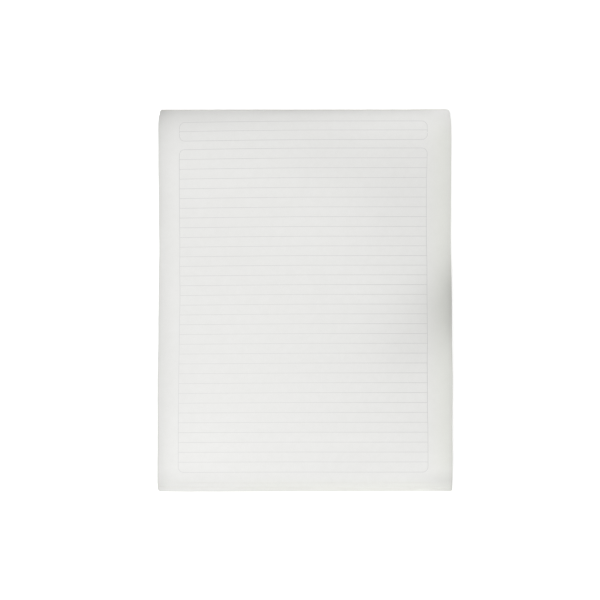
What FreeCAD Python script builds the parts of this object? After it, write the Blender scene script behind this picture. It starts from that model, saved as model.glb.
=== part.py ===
import FreeCAD, Part
import math
import os
import Sketcher

# ---------------------------------------------------------------------------
# Gummed writing pad, letter size, head bound, lying on its board.
#
# Frame: +Z up (the ruled side), +Y towards the gummed head, +X to the right of
# a reader.  Origin at the middle of the pad's footprint, on the table.
#
# The pad is three pieces:
#   page_block     the ruled leaves.  At the head they are pressed together by
#                  the gum, so the top of the block rounds down towards it.
#                  Across the middle the leaves sag in a shallow valley.  The
#                  upper leaves travel further over the rounded head, so at the
#                  free end they stop short of the lower ones.
#   backing_board  thin chipboard, flush with the lowest leaves.
#   head_gum       dried padding compound brushed over the ends of the leaves
#                  and the board at the head.
# ---------------------------------------------------------------------------

doc = FreeCAD.newDocument("writing_pad")

# ------------------------------------------------------------ driving sizes --
sheet = doc.addObject("Spreadsheet::Sheet", "dims")
sheet.Label = "dims"

DIMS = [
    # alias, value in mm, what it is
    ("sheet_width", 215.9, "width of a leaf, 8.5 in"),
    ("free_end", 140.7, "from the origin to the free end of the lowest leaf"),
    ("board_head", 138.7, "from the origin to the head end of board and lowest leaf"),
    ("board_thick", 0.8, "chipboard thickness"),
    ("corner_round", 1.4, "plan radius of the softened corners"),
    ("raw_top", 12.0, "height of the raw block before its top is shaped"),
    ("free_face", 6.4, "height up to which the free end is upright"),
    ("free_bulge", 12.0, "radius of the fanned upper leaf ends"),
    ("head_top_y", 140.3, "where the top leaf ends at the head"),
    ("head_top_z", 4.3, "its height there"),
    ("head_tan_y", 121.0, "where the rounding of the head starts"),
    ("head_tan_z", 10.0, "height there"),
    ("under_cut", 0.3, "height where the shaping cut leaves the block below"),
    ("cut_reach", 160.0, "reach of the shaping cut past both ends"),
    ("cut_top", 25.0, "top of the shaping cut"),
    ("gum_tip_y", 140.76, "outermost line of the gum film"),
    ("gum_tip_z", 4.0, "height of that line"),
    ("gum_foot", 0.5, "thickness of the film at the table"),
    ("gum_soft", 0.25, "radius of the film's brushed outer edges"),
]

# Control points of the top face, from the free end (first) to the start of
# the head rounding (last): distance along the pad and height.
POLES = [
    (-136.90, 10.42), (-124.60, 10.71), (-100.97, 10.45), (-70.67, 11.00),
    (-46.67, 10.75), (-26.67, 9.31), (-7.33, 9.44), (10.00, 8.87),
    (24.00, 8.33), (36.00, 6.87), (52.67, 7.55), (74.00, 8.47),
    (98.33, 9.08), (114.00, 10.00),
]
KNOTS = [-136.9, -100.0, -66.0, -46.0, -28.0, -6.0, 12.0, 24.0, 36.0, 48.0,
         74.0, 100.0, 121.0]

row = 1
sheet.set("A1", "alias")
sheet.set("B1", "value, mm")
sheet.set("C1", "meaning")
for alias, value, text in DIMS:
    row += 1
    sheet.set("A%d" % row, alias)
    sheet.set("B%d" % row, str(value))
    sheet.set("C%d" % row, text)
    sheet.setAlias("B%d" % row, alias)
for i, (py, pz) in enumerate(POLES):
    for tag, value in (("along", py), ("height", pz)):
        row += 1
        alias = "top_%s_%s" % (tag, "abcdefghijklmnop"[i])
        sheet.set("A%d" % row, alias)
        sheet.set("B%d" % row, str(value))
        sheet.set("C%d" % row, "control point %d of the top face" % i)
        sheet.setAlias("B%d" % row, alias)
doc.recompute()


def dim(alias):
    return float(sheet.get(alias))


# ------------------------------------------------------------------ helpers --
def origin_plane(body, role):
    for feat in body.Origin.OriginFeatures:
        if feat.Role == role:
            return feat
    raise RuntimeError("no origin plane " + role)


def new_sketch(body, name, role):
    sk = body.newObject("Sketcher::SketchObject", name)
    sk.AttachmentSupport = [(origin_plane(body, role), "")]
    sk.MapMode = "FlatFace"
    return sk


def v(x, y):
    return FreeCAD.Vector(x, y, 0)


def rounded_plan(sk, x_half, y_low, y_high, r):
    """Rounded rectangle, symmetric about the sketch's vertical axis."""
    lines = [
        Part.LineSegment(v(-x_half + r, y_low), v(x_half - r, y_low)),
        Part.LineSegment(v(x_half, y_low + r), v(x_half, y_high - r)),
        Part.LineSegment(v(x_half - r, y_high), v(-x_half + r, y_high)),
        Part.LineSegment(v(-x_half, y_high - r), v(-x_half, y_low + r)),
    ]
    ids = [sk.addGeometry(g, False) for g in lines]
    cen = [(x_half - r, y_low + r, -90, 0), (x_half - r, y_high - r, 0, 90),
           (-x_half + r, y_high - r, 90, 180), (-x_half + r, y_low + r, 180, 270)]
    rad = 3.141592653589793 / 180.0
    arcs = []
    for cx, cy, a0, a1 in cen:
        arcs.append(sk.addGeometry(Part.ArcOfCircle(
            Part.Circle(v(cx, cy), FreeCAD.Vector(0, 0, 1), r), a0 * rad, a1 * rad), False))
    # each arc runs from the end of one line to the start of the next
    for k in range(4):
        sk.addConstraint(Sketcher.Constraint("Tangent", ids[k], 2, arcs[k], 1))
        sk.addConstraint(Sketcher.Constraint("Tangent", arcs[k], 2, ids[(k + 1) % 4], 1))
    sk.addConstraint(Sketcher.Constraint("Horizontal", ids[0]))
    sk.addConstraint(Sketcher.Constraint("Vertical", ids[1]))
    sk.addConstraint(Sketcher.Constraint("Horizontal", ids[2]))
    sk.addConstraint(Sketcher.Constraint("Vertical", ids[3]))
    for k in range(1, 4):
        sk.addConstraint(Sketcher.Constraint("Equal", arcs[0], arcs[k]))
    named = [
        ("round", Sketcher.Constraint("Radius", arcs[0], r)),
        ("right", Sketcher.Constraint("DistanceX", -1, 1, ids[1], 1, x_half)),
        ("left", Sketcher.Constraint("DistanceX", ids[3], 1, -1, 1, x_half)),
        ("low", Sketcher.Constraint("DistanceY", ids[0], 1, -1, 1, -y_low)),
        ("high", Sketcher.Constraint("DistanceY", -1, 1, ids[2], 1, y_high)),
    ]
    for name, con in named:
        sk.renameConstraint(sk.addConstraint(con), name)


def pin(sk, name, geo, pos, y_expr, z_expr, y_now, z_now):
    """Fix a sketch point by two sheet-driven distances from the origin."""
    i = sk.addConstraint(Sketcher.Constraint("DistanceX", -1, 1, geo, pos, y_now))
    sk.renameConstraint(i, name + "_y")
    sk.setExpression("Constraints." + name + "_y", y_expr)
    i = sk.addConstraint(Sketcher.Constraint("DistanceY", -1, 1, geo, pos, z_now))
    sk.renameConstraint(i, name + "_z")
    sk.setExpression("Constraints." + name + "_z", z_expr)


# --------------------------------------------------------------- page block --
block = doc.addObject("PartDesign::Body", "page_block")
block.Label = "page_block"

plan = new_sketch(block, "leaf_plan", "XY_Plane")
rounded_plan(plan, dim("sheet_width") / 2, -dim("free_end"), dim("head_top_y"),
             dim("corner_round"))
plan.setExpression("Constraints.round", "<<dims>>.corner_round")
plan.setExpression("Constraints.right", "<<dims>>.sheet_width / 2")
plan.setExpression("Constraints.left", "<<dims>>.sheet_width / 2")
plan.setExpression("Constraints.low", "<<dims>>.free_end")
plan.setExpression("Constraints.high", "<<dims>>.head_top_y")
plan.setExpression("AttachmentOffset.Base.z", "<<dims>>.board_thick")
doc.recompute()

raw = block.newObject("PartDesign::Pad", "raw_stack")
raw.Profile = plan
raw.setExpression("Length", "<<dims>>.raw_top - <<dims>>.board_thick")
doc.recompute()
raw_volume = raw.Shape.Volume

# Side profile of what is cut away: everything above the top face, the slope
# of the fanned leaf ends at the free end, and the leaning bound ends at the
# head.  Sketch x is the pad's Y, sketch y is its Z.
side = new_sketch(block, "side_profile", "YZ_Plane")

fy, fz = -dim("free_end"), dim("free_face")          # top of the upright face
ty, tz = POLES[0]                                    # free edge of the top leaf
gy, gz = dim("head_tan_y"), dim("head_tan_z")        # head rounding starts
ey, ez = dim("head_top_y"), dim("head_top_z")        # head end of the top leaf
by, bz = dim("board_head"), dim("board_thick")       # head end of lowest leaf
reach, top, under = dim("cut_reach"), dim("cut_top"), dim("under_cut")

poles = [v(a, b) for a, b in POLES] + [v(gy, gz)]
mults = [4] + [1] * (len(KNOTS) - 2) + [4]
spline = Part.BSplineCurve()
spline.buildFromPolesMultsKnots(poles, mults, KNOTS, False, 3)
g_top = side.addGeometry(spline, False)

# head rounding: circle through the head end of the top leaf, level at its start
rise, run = gz - ez, ey - gy
radius = (run * run + rise * rise) / (2 * rise)
a_end = math.atan2(ez - (gz - radius), ey - gy)
g_head = side.addGeometry(Part.ArcOfCircle(
    Part.Circle(v(gy, gz - radius), FreeCAD.Vector(0, 0, 1), radius),
    a_end, math.pi / 2), False)

# bound ends lean: from the top leaf's end down past the lowest leaf's end
k = (ez - under) / (ez - bz)
uy = ey + (by - ey) * k
g_lean = side.addGeometry(Part.LineSegment(v(ey, ez), v(uy, under)), False)
g_under = side.addGeometry(Part.LineSegment(v(uy, under), v(reach, under)), False)
g_right = side.addGeometry(Part.LineSegment(v(reach, under), v(reach, top)), False)
g_over = side.addGeometry(Part.LineSegment(v(reach, top), v(-reach, top)), False)
g_left = side.addGeometry(Part.LineSegment(v(-reach, top), v(-reach, fz)), False)
g_step = side.addGeometry(Part.LineSegment(v(-reach, fz), v(fy, fz)), False)

# fanned leaf ends: an arc bulging outwards between the upright face and the
# free edge of the top leaf
rb = dim("free_bulge")
dx, dz = ty - fy, tz - fz
chord = math.hypot(dx, dz)
mx, mz = (ty + fy) / 2, (tz + fz) / 2
off = math.sqrt(rb * rb - chord * chord / 4)
cx, cz = mx + off * dz / chord, mz - off * dx / chord
a0 = math.atan2(tz - cz, ty - cx)
a1 = math.atan2(fz - cz, fy - cx)
if a1 < a0:
    a1 += 2 * math.pi
g_fan = side.addGeometry(Part.ArcOfCircle(
    Part.Circle(v(cx, cz), FreeCAD.Vector(0, 0, 1), rb), a0, a1), False)

C = Sketcher.Constraint
side.addConstraint(C("Coincident", g_top, 2, g_head, 2))
side.addConstraint(C("Coincident", g_head, 1, g_lean, 1))
side.addConstraint(C("Coincident", g_lean, 2, g_under, 1))
side.addConstraint(C("Coincident", g_under, 2, g_right, 1))
side.addConstraint(C("Coincident", g_right, 2, g_over, 1))
side.addConstraint(C("Coincident", g_over, 2, g_left, 1))
side.addConstraint(C("Coincident", g_left, 2, g_step, 1))
side.addConstraint(C("Coincident", g_step, 2, g_fan, 2))
side.addConstraint(C("Coincident", g_fan, 1, g_top, 1))
side.addConstraint(C("Horizontal", g_under))
side.addConstraint(C("Vertical", g_right))
side.addConstraint(C("Horizontal", g_over))
side.addConstraint(C("Vertical", g_left))
side.addConstraint(C("Horizontal", g_step))

# the spline's control points are shown as construction circles; every one is
# pinned to the sheet
before = side.GeometryCount
side.exposeInternalGeometry(g_top)
circles = [i for i in range(before, side.GeometryCount)
           if isinstance(side.Geometry[i], Part.Circle)]
if len(circles) != len(poles):
    raise RuntimeError("control points not exposed: %d of %d" % (len(circles), len(poles)))
for i, (py, pz) in enumerate(POLES):
    letter = "abcdefghijklmnop"[i]
    pin(side, "top_" + letter, circles[i], 3,
        "<<dims>>.top_along_" + letter, "<<dims>>.top_height_" + letter, py, pz)
pin(side, "head_start", circles[-1], 3, "<<dims>>.head_tan_y", "<<dims>>.head_tan_z", gy, gz)
# level tangent where the head rounding starts: its centre lies straight below
i = side.addConstraint(C("DistanceX", -1, 1, g_head, 3, gy))
side.renameConstraint(i, "head_centre_y")
side.setExpression("Constraints.head_centre_y", "<<dims>>.head_tan_y")
pin(side, "head_end", g_lean, 1, "<<dims>>.head_top_y", "<<dims>>.head_top_z", ey, ez)
pin(side, "head_foot", g_lean, 2,
    "<<dims>>.head_top_y + (<<dims>>.board_head - <<dims>>.head_top_y)"
    " * (<<dims>>.head_top_z - <<dims>>.under_cut)"
    " / (<<dims>>.head_top_z - <<dims>>.board_thick)",
    "<<dims>>.under_cut", uy, under)
pin(side, "far_top", g_right, 2, "<<dims>>.cut_reach", "<<dims>>.cut_top", reach, top)
i = side.addConstraint(C("DistanceX", g_left, 1, -1, 1, reach))
side.renameConstraint(i, "far_left")
side.setExpression("Constraints.far_left", "<<dims>>.cut_reach")
i = side.addConstraint(C("DistanceX", g_step, 2, -1, 1, -fy))
side.renameConstraint(i, "free_y")
side.setExpression("Constraints.free_y", "<<dims>>.free_end")
i = side.addConstraint(C("DistanceY", -1, 1, g_step, 2, fz))
side.renameConstraint(i, "free_z")
side.setExpression("Constraints.free_z", "<<dims>>.free_face")
i = side.addConstraint(C("Radius", g_fan, rb))
side.renameConstraint(i, "free_fan")
side.setExpression("Constraints.free_fan", "<<dims>>.free_bulge")
doc.recompute()

shape_cut = block.newObject("PartDesign::Pocket", "shape_top_and_ends")
shape_cut.Profile = side
shape_cut.Type = "Length"
shape_cut.setExpression("Length", "<<dims>>.sheet_width + 20")
if hasattr(shape_cut, "SideType"):
    shape_cut.SideType = "Symmetric"
else:
    shape_cut.Midplane = True
doc.recompute()
cut_volume = raw_volume - shape_cut.Shape.Volume
print("raw block %.1f cm3, cut away %.1f cm3" % (raw_volume / 1000, cut_volume / 1000))
if not (0.15 * raw_volume < cut_volume < 0.35 * raw_volume):
    raise RuntimeError("the shaping cut missed the block")
block.Placement = FreeCAD.Placement(FreeCAD.Vector(0, 0, 0), FreeCAD.Rotation())

# ------------------------------------------------------------ backing board --
board = doc.addObject("PartDesign::Body", "backing_board")
board.Label = "backing_board"
bplan = new_sketch(board, "board_plan", "XY_Plane")
rounded_plan(bplan, dim("sheet_width") / 2, -dim("free_end"), dim("board_head"),
             dim("corner_round"))
bplan.setExpression("Constraints.round", "<<dims>>.corner_round")
bplan.setExpression("Constraints.right", "<<dims>>.sheet_width / 2")
bplan.setExpression("Constraints.left", "<<dims>>.sheet_width / 2")
bplan.setExpression("Constraints.low", "<<dims>>.free_end")
bplan.setExpression("Constraints.high", "<<dims>>.board_head")
doc.recompute()
bpad = board.newObject("PartDesign::Pad", "board_sheet")
bpad.Profile = bplan
bpad.setExpression("Length", "<<dims>>.board_thick")
board.Placement = FreeCAD.Placement(FreeCAD.Vector(0, 0, 0), FreeCAD.Rotation())
doc.recompute()

# ----------------------------------------------------------------- head gum --
gum = doc.addObject("PartDesign::Body", "head_gum")
gum.Label = "head_gum"
gsk = new_sketch(gum, "gum_section", "YZ_Plane")
qy, qz = dim("gum_tip_y"), dim("gum_tip_z")
foot = dim("gum_foot")
s_in = gsk.addGeometry(Part.LineSegment(v(ey, ez), v(by, bz)), False)      # leaf ends
s_bd = gsk.addGeometry(Part.LineSegment(v(by, bz), v(by, 0)), False)       # board edge
s_ft = gsk.addGeometry(Part.LineSegment(v(by, 0), v(by + foot, 0)), False)
s_lo = gsk.addGeometry(Part.LineSegment(v(by + foot, 0), v(qy, qz)), False)
s_hi = gsk.addGeometry(Part.LineSegment(v(qy, qz), v(ey, ez)), False)
for a, b in ((s_in, s_bd), (s_bd, s_ft), (s_ft, s_lo), (s_lo, s_hi), (s_hi, s_in)):
    gsk.addConstraint(C("Coincident", a, 2, b, 1))
gsk.addConstraint(C("Vertical", s_bd))
gsk.addConstraint(C("Horizontal", s_ft))
pin(gsk, "leaf_top", s_in, 1, "<<dims>>.head_top_y", "<<dims>>.head_top_z", ey, ez)
pin(gsk, "leaf_foot", s_in, 2, "<<dims>>.board_head", "<<dims>>.board_thick", by, bz)
pin(gsk, "tip", s_hi, 1, "<<dims>>.gum_tip_y", "<<dims>>.gum_tip_z", qy, qz)
i = gsk.addConstraint(C("DistanceX", s_ft, 1, s_ft, 2, foot))
gsk.renameConstraint(i, "foot")
gsk.setExpression("Constraints.foot", "<<dims>>.gum_foot")
gsk.addConstraint(C("PointOnObject", s_ft, 1, -1))
doc.recompute()
gpad = gum.newObject("PartDesign::Pad", "gum_film")
gpad.Profile = gsk
gpad.setExpression("Length", "<<dims>>.sheet_width - 2 * <<dims>>.corner_round")
if hasattr(gpad, "SideType"):
    gpad.SideType = "Symmetric"
else:
    gpad.Midplane = True
doc.recompute()
# the film is brushed on wet, so its two long outer edges are soft
soft = []
for n, edge in enumerate(gpad.Shape.Edges, 1):
    bb = edge.BoundBox
    if bb.XLength > 100 and bb.YMin > by + foot - 0.01 and not (
            abs(bb.YMin - ey) < 0.01 and abs(bb.ZMin - ez) < 0.01):
        soft.append("Edge%d" % n)
if len(soft) != 2:
    raise RuntimeError("gum edges not found: %s" % soft)
gfil = gum.newObject("PartDesign::Fillet", "brushed_edges")
gfil.Base = (gpad, soft)
gfil.setExpression("Radius", "<<dims>>.gum_soft")
gum.Tip = gfil
gum.Placement = FreeCAD.Placement(FreeCAD.Vector(0, 0, 0), FreeCAD.Rotation())
doc.recompute()
if not gfil.Shape.Volume < gpad.Shape.Volume:
    raise RuntimeError("the gum's edges were not softened")

# ------------------------------------------------------------------- checks --
for obj in doc.Objects:
    if "Invalid" in obj.State or "Error" in obj.State:
        raise RuntimeError("failed object: %s %s" % (obj.Name, obj.State))
for sk in (plan, side, bplan, gsk):
    if sk.solve() != 0:
        raise RuntimeError("sketch not solved: " + sk.Name)
    print("sketch %-14s solved, fully constrained: %s" % (sk.Name, sk.FullyConstrained))

bodies = [block, board, gum]
for body in bodies:
    shp = body.Shape
    if shp.isNull() or not shp.isValid() or len(shp.Solids) != 1:
        raise RuntimeError("bad shape: " + body.Label)
    bb = shp.BoundBox
    print("%-14s x %8.3f %8.3f  y %8.3f %8.3f  z %7.3f %7.3f  vol %9.2f cm3" % (
        body.Label, bb.XMin, bb.XMax, bb.YMin, bb.YMax, bb.ZMin, bb.ZMax, shp.Volume / 1000))

# -------------------------------------------------------------------- write --
os.makedirs("parts", exist_ok=True)
for body in bodies:
    body.Shape.exportStep("parts/" + body.Label + ".step")
print("wrote", len(bodies), "pieces")
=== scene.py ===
import math
import random

import bpy
import numpy as np
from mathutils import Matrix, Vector


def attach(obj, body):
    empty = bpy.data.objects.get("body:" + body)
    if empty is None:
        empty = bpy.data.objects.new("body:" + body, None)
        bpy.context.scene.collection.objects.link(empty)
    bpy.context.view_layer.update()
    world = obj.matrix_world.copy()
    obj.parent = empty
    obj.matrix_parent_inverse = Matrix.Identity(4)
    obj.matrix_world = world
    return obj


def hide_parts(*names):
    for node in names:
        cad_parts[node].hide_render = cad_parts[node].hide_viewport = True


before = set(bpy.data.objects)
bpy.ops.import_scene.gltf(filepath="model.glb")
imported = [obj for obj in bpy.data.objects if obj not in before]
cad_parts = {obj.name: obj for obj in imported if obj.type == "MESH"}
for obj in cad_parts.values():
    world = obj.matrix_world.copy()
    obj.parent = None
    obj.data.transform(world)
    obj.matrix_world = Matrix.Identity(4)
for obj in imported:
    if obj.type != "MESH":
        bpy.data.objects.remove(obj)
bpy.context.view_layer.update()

# ---------------------------------------------------------------------------
# Gummed ruled writing pad, lying ruled side up.  Everything is worked out in
# millimetres in the row frame (+Z up, +Y to the gummed head) and stored in
# metres.  The sizes are those of part.py.
# ---------------------------------------------------------------------------
MM = 0.001
HALF_W = 107.95           # half the leaf width
FREE = -140.7             # free end of the lowest leaf
BOARD_T = 0.8             # board thickness
HEAD_Y0, HEAD_Z0 = 138.7, 0.8      # bound end of the lowest leaf
HEAD_Y1, HEAD_Z1 = 140.3, 4.3      # bound end of the top leaf
TOP_END = -136.9          # free end of the upper leaves
TOP_LEAF_END = -133.4     # the top leaf itself stops a little shorter
CORNER = 1.4              # plan radius of the softened corners
SHARP = 0.9               # the bound left corner has kept sharper
WORN = 2.2                # the free left corner is worn rounder
LEAVES = 50
LEAF_T = 0.0685           # a leaf pressed in the gum
LEAF_SOFT = 0.018         # what waviness adds to it where it lies loose
NIP = 0.0015              # least clearance between two leaves

# control heights and knots of the top face, from part.py
HEIGHTS = np.array([10.42, 10.71, 10.45, 11.00, 10.75, 9.31, 9.44, 8.87, 8.33,
                    6.87, 7.55, 8.47, 9.08, 10.00, 10.00])
KNOTS = np.array([-136.9] * 3 + [-136.9, -100.0, -66.0, -46.0, -28.0, -6.0,
                                 12.0, 24.0, 36.0, 48.0, 74.0, 100.0, 121.0]
                 + [121.0] * 3)
ROUND_Y, ROUND_Z = 121.0, 10.0     # where the rounding of the head starts
ROUND_R = ((HEAD_Y1 - ROUND_Y) ** 2 + (ROUND_Z - HEAD_Z1) ** 2) / (2 * (ROUND_Z - HEAD_Z1))


# ------------------------------------------------------------- leaf surface --
def spline_height(y):
    """Cubic B-spline of the top face, de Boor's way, for an array of Y."""
    y = np.clip(np.asarray(y, float), KNOTS[3], KNOTS[-4] - 1e-9)
    k = np.clip(np.searchsorted(KNOTS, y, side="right") - 1, 3, len(HEIGHTS) - 1)
    d = [HEIGHTS[k - 3 + j] for j in range(4)]
    for r in range(1, 4):
        for j in range(3, r - 1, -1):
            lo, hi = KNOTS[k - 3 + j], KNOTS[k + 1 + j - r]
            a = (y - lo) / (hi - lo)
            d[j] = (1 - a) * d[j - 1] + a * d[j]
    return d[3]


def side_profile(y):
    """Height of the top leaf along the middle of the pad."""
    y = np.asarray(y, float)
    body = spline_height(y)
    run = np.clip(y - ROUND_Y, 0, ROUND_R * 0.98)
    head = ROUND_Z - ROUND_R + np.sqrt(ROUND_R ** 2 - run ** 2)
    past = 10.42 + 0.055 * (y - TOP_END)
    return np.where(y > ROUND_Y, head, np.where(y < TOP_END, past, body))


def shoulder(y):
    """The same fall at the head taken later and steeper, as the leaves do
    where they are packed tighter: a bend close to the gum."""
    d = np.clip(HEAD_Y1 - np.asarray(y, float), 0, HEAD_Y1 - ROUND_Y)
    bend = 2.08 * (1 - np.exp(-d / 1.6))
    ramp = (ROUND_Z - HEAD_Z1 - 2.08) * (1 - (1 - d / (HEAD_Y1 - ROUND_Y)) ** 2.3)
    return HEAD_Z1 + bend + ramp


def smooth(a, b, x):
    """0 at a, 1 at b, level at both."""
    t = np.clip((np.asarray(x, float) - a) / (b - a), 0, 1)
    return t * t * (3 - 2 * t)


def hump(y, centre, spread):
    """1 at the centre, falling off like a bell."""
    return np.exp(-0.5 * ((y - centre) / spread) ** 2)


def waves(seed, n, shortest, longest):
    """A fixed set of long plane waves, for cockle and uneven lie."""
    rng = random.Random(seed)
    out = []
    for _ in range(n):
        length = shortest * (longest / shortest) ** rng.random()
        turn = rng.uniform(0, math.pi)
        out.append((2 * math.pi / length * math.cos(turn),
                    2 * math.pi / length * math.sin(turn),
                    rng.uniform(0, 2 * math.pi), length / longest))
    return out


COCKLE = waves(11, 9, 38.0, 130.0)


def cockle(x, y):
    total = 0.0
    for kx, ky, ph, size in COCKLE:
        total = total + size * np.sin(kx * x + ky * y + ph)
    return total / 3.0


def top_height(x, y):
    """Height of the top leaf anywhere on the pad."""
    x, y = np.asarray(x, float), np.asarray(y, float)
    away = HEAD_Y1 - y                          # from the gummed head
    loose = 1 - np.exp(-np.clip(away, 0, None) / 9.0)
    # the left half lies lower than the right
    left = 1.35 * (np.clip(-x, 0, None) / 86.0) ** 1.7 * (0.5 + 0.5 * smooth(-142.0, -104.0, y))
    # both long edges droop
    inset = HALF_W - np.abs(x)
    droop_l = 0.85 * np.exp(-inset / 4.2) * (0.85 + 0.15 * np.sin(y / 41.0 + 0.6))
    droop_r = 0.75 * np.exp(-inset / 3.6) * (0.85 + 0.15 * np.sin(y / 33.0 + 2.1))
    edge = np.where(x < 0, droop_l, droop_r)
    # shallow curl of the right edge, level with the middle of the pad
    along = np.exp(-0.5 * ((y + 5.0) / 21.0) ** 2)
    curl = 1.5 * along * (np.clip(x - 58.0, 0, None) / 49.5) ** 2.6
    # the free corners hang a little
    cl = np.hypot(x + HALF_W, y - FREE)
    cr = np.hypot(x - HALF_W, y - FREE)
    corners = 0.75 * np.exp(-(cl / 13.0) ** 1.3) + 0.95 * np.exp(-(cr / 13.0) ** 1.3)
    lie = 0.07 * cockle(x, y)
    tight = (0.22 - 0.08 * smooth(-100.0, 60.0, x)) * (y > ROUND_Y)
    spine = side_profile(y)
    spine = spine + tight * (shoulder(y) - spine)
    z = spine + loose * (lie - left - edge - curl - corners)
    return np.minimum(z, 10.855)


# gaps between the leaves: most are hairline, a few packs part further
_rng = random.Random(20)
GAP_BASE = np.array([math.exp(_rng.gauss(0.0, 0.75)) for _ in range(LEAVES)])
for _k, _f in ((3, 4.0), (9, 6.5), (14, 5.0), (21, 8.0), (27, 5.0), (33, 6.0),
               (38, 3.0), (43, 2.5), (46, 2.0)):
    GAP_BASE[_k] *= _f
GAP_BASE[0] = 0.6
GAP_BASE[47] = 1.9
GAP_BASE[48] = 1.4
GAP_BASE[49] = 1.4
GAP_WAVES = [waves(100 + j, 4, 55.0, 170.0) for j in range(LEAVES)]


def gap_shares(x, away):
    """Share of the air below each leaf, cumulated, at the given places."""
    w = np.empty((LEAVES,) + np.shape(x))
    for j in range(LEAVES):
        n = 0.0
        for kx, ky, ph, _ in GAP_WAVES[j]:
            n = n + np.sin(0.35 * kx * x + ky * away + ph)
        w[j] = GAP_BASE[j] * np.exp(0.5 * n)
    w = np.cumsum(w, axis=0)
    return w / w[-1]


def head_end(k):
    """Where leaf k ends at the gummed head."""
    z = HEAD_Z0 + (k + 0.5) * (HEAD_Z1 - HEAD_Z0) / LEAVES
    return HEAD_Y0 + (z - HEAD_Z0) * (HEAD_Y1 - HEAD_Y0) / (HEAD_Z1 - HEAD_Z0) - 0.02


def leaf_faces(k, x, y):
    """Heights of the lower and upper face of leaf k."""
    away = head_end(k) - y
    air = np.clip(top_height(x, HEAD_Y1 - away) - HEAD_Z1, 0, None)
    soft = LEAF_SOFT * air / (air + 1.0)
    t = LEAF_T + soft
    rest = air - LEAVES * soft
    if k == LEAVES - 1:
        share = 1.0
    else:
        share = gap_shares(x, away)[k]
    low = BOARD_T + (k + 1) * NIP + k * t + share * rest
    return low, low + t


_rng = random.Random(5)
LEAF_SHIFT = [_rng.uniform(-0.07, 0.07) for _ in range(LEAVES)]
LEAF_STEP = [_rng.uniform(0.0, 0.16) for _ in range(LEAVES)]


def free_end(k):
    """Where leaf k stops at the free end.  The upper packs, which travel
    further over the rounded head, stop short of the lower ones."""
    if k == LEAVES - 1:
        return TOP_LEAF_END
    if k == LEAVES - 2:
        return TOP_END + 0.25
    if k == LEAVES - 3:
        return TOP_END - 0.10
    if k >= 43:
        return -138.45 - 0.05 * (46 - k) - LEAF_STEP[k]
    if k >= 38:
        return -139.95 - LEAF_STEP[k]
    if k >= 33:
        return -140.40 - LEAF_STEP[k]
    return FREE + 0.02 + 1.4 * LEAF_STEP[k] * (k / 33.0)


def slant(k, x):
    """How much further a leaf reaches at one side of the free end: the packs
    below the top one on the left, one leaf of the top pack on the right, and
    the packs under the hanging right corner a little there too."""
    if k == LEAVES - 3:
        return 1.2 * smooth(-30.0, 70.0, x)
    reach = 0.0 if k >= 47 else 1.5 if k >= 43 else 0.6 if k >= 38 else 0.2 if k >= 33 else 0.0
    right = 0.0
    if 33 <= k < 38:
        right = 0.3 * smooth(92.0, 105.0, x)
    elif 38 <= k < 43:
        right = 0.7 * smooth(95.0, 104.0, x) - 0.13 * hump(x, -92.0, 6.0)
    return reach * smooth(-25.0, -100.0, x) + right


def head_creep(x):
    """How much further the bound ends of the upper leaves reach at the sides."""
    return 0.12 * smooth(10.0, -70.0, x) + 0.04 * smooth(-86.0, -98.0, x) - 0.10 * hump(x, 55.0, 11.0) + 0.10 * smooth(78.0, 92.0, x)


def side_reach(k, y):
    """Left and right edge of leaf k."""
    fan = np.clip((HEAD_Y1 - y) / 280.0, 0, 1)
    up = min(max((k - 6) / 22.0, 0.0), 1.0)      # the block leans in upwards
    left = -HALF_W + 0.09 + LEAF_SHIFT[k]
    right = HALF_W - 0.09 - 0.43 * up + LEAF_SHIFT[k]
    # both long edges step out to the right where the curl pushes them
    left = left + 0.33 * np.exp(-0.5 * ((y + 3.0) / 24.0) ** 2)
    right = right + (0.12 + 0.50 * up) * np.exp(-0.5 * ((y + 4.0) / 25.0) ** 2)
    if k >= 46:                                  # top pack slews to the left
        right = right - 0.60 * fan ** 2
        left = left - 0.02 * fan
    else:
        left = left + 0.25 * fan
    # the bound corner on the left is a little worn in
    left = left + 0.24 * up * smooth(52.0, 84.0, y)
    left = left + 0.85 * np.exp(-np.clip(HEAD_Y1 - y, 0, None) / 3.2)
    # small wanders of both edges, most in the looser upper leaves
    left = left + up * (0.17 * hump(y, 35.0, 9.0) - 0.10 * hump(y, -15.0, 6.0)
                        + 0.18 * hump(y, -37.0, 8.0) - 0.18 * hump(y, 96.0, 9.0)
                        + 0.05 * hump(y, 123.0, 9.0) + 0.34 * hump(y, 137.0, 1.2))
    left = left - 0.33 * smooth(-133.0, -138.0, y)
    right = right - up * (0.22 * smooth(-68.0, -92.0, y) * smooth(-140.0, -135.0, y)
                          + 0.10 * hump(y, 45.0, 10.0))
    left = np.maximum(left, -HALF_W)
    right = np.minimum(right, HALF_W)
    return left, right


# ------------------------------------------------------------- mesh helpers --
def stations(total, near_a, near_b, pitch):
    """Positions from 0 to total: given distances from both ends, then even."""
    a = [v for v in near_a]
    b = [total - v for v in near_b][::-1]
    n = max(1, round((b[0] - a[-1]) / pitch))
    mid = [a[-1] + (b[0] - a[-1]) * i / n for i in range(1, n)]
    return np.array(a + mid + b)


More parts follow.
